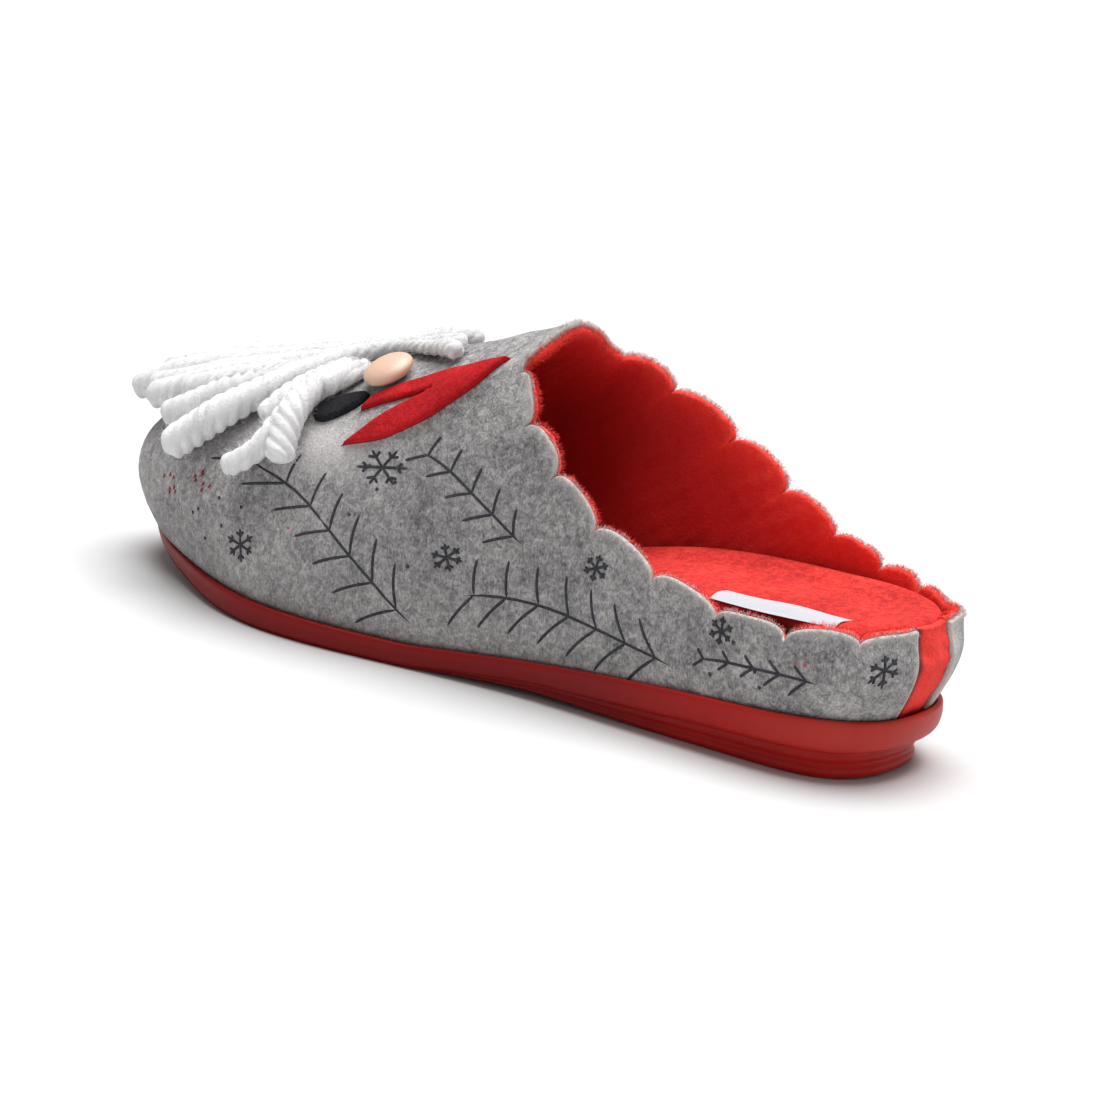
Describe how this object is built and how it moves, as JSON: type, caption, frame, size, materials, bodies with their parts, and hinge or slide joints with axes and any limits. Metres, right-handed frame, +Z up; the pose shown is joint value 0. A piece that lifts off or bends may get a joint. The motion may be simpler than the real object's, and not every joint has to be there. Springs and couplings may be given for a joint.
{
  "type": "house slipper",
  "caption": "Grey felt house slipper for the left foot, open at the back, with a scalloped collar, red lining and footbed, red rubber sole and a white yarn fringe.",
  "frame": {"origin": "middle of the bounding box's bottom, on the floor that the sole stands on", "axes": "+X to the inner side of the left foot, +Y from heel to toe, +Z up"},
  "size_m": [0.09, 0.261, 0.0938],
  "materials": {
    "red_rubber": "satin",
    "grey_felt": "matte",
    "red_footbed": "matte",
    "red_strip": "matte",
    "red_felt": "matte",
    "black_felt": "matte",
    "white_yarn": "matte",
    "beige_bead": "satin"
  },
  "bodies": {
    "root": {"outsole": "red_rubber", "upper": "grey_felt", "insole": "red_footbed", "heel_strip": "red_strip", "red_swallowtail": "red_felt", "black_patch": "black_felt", "yarn_fringe": "white_yarn", "bead": "beige_bead"}
  },
  "joints": []
}
